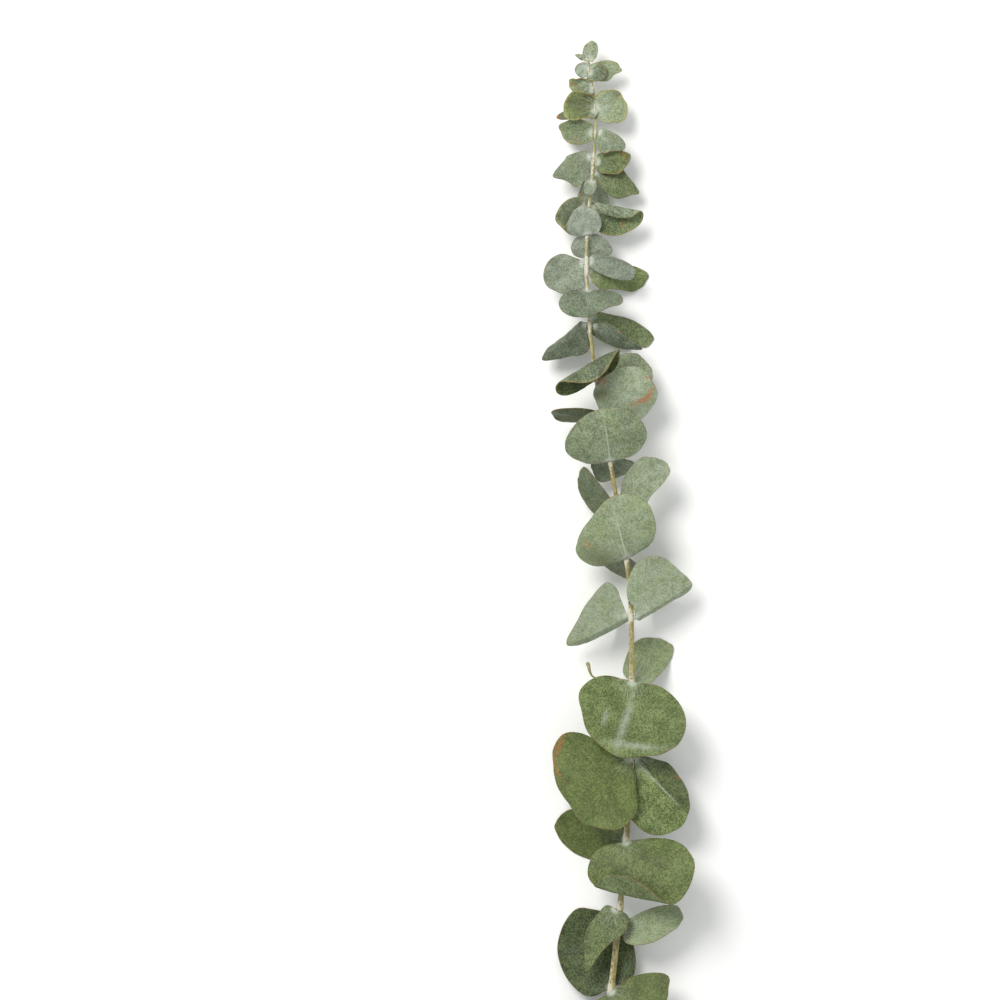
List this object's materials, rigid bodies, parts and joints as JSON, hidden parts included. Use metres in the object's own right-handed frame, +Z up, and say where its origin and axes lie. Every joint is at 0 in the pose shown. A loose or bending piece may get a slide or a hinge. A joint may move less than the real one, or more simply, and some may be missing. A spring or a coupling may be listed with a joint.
{
  "type": "eucalyptus branch",
  "caption": "A cut, preserved eucalyptus branch with round grey-green leaves in opposite pairs up a thin woody stem, lying on its leaves",
  "frame": {"origin": "on the resting surface, under the middle of the branch's bounding box", "axes": "Y runs along the stem from the cut foot to the growing tip, X across it to the right seen from above, Z up"},
  "size_m": [0.0893, 0.6484, 0.0446],
  "materials": {
    "leaf": "dry waxy bloom, satin",
    "bark": "thin ochre bark with white wax, matt"
  },
  "bodies": {
    "root": {"leaf_01_left": "leaf", "leaf_01_right": "leaf", "leaf_02_back": "leaf", "leaf_02_front": "leaf", "leaf_03_left": "leaf", "leaf_03_right": "leaf", "leaf_04_back": "leaf", "leaf_04_front": "leaf", "leaf_05_left": "leaf", "leaf_05_right": "leaf", "leaf_06_back": "leaf", "leaf_06_front": "leaf", "leaf_07_left": "leaf", "leaf_07_right": "leaf", "leaf_08_back": "leaf", "leaf_08_front": "leaf", "leaf_09_left": "leaf", "leaf_09_right": "leaf", "leaf_10_back": "leaf", "leaf_10_front": "leaf", "leaf_11_left": "leaf", "leaf_11_right": "leaf", "leaf_12_back": "leaf", "leaf_12_front": "leaf", "leaf_13_left": "leaf", "leaf_13_right": "leaf", "leaf_14_back": "leaf", "leaf_14_front": "leaf", "leaf_15_back": "leaf", "leaf_15_left": "leaf", "leaf_15_right": "leaf", "leaf_16_back": "leaf", "leaf_16_front": "leaf", "leaf_17_left": "leaf", "leaf_17_right": "leaf", "leaf_18_back": "leaf", "leaf_18_front": "leaf", "leaf_19_back": "leaf", "leaf_19_left": "leaf", "leaf_19_right": "leaf", "leaf_20_left": "leaf", "leaf_20_right": "leaf", "stem": "bark"}
  },
  "joints": []
}
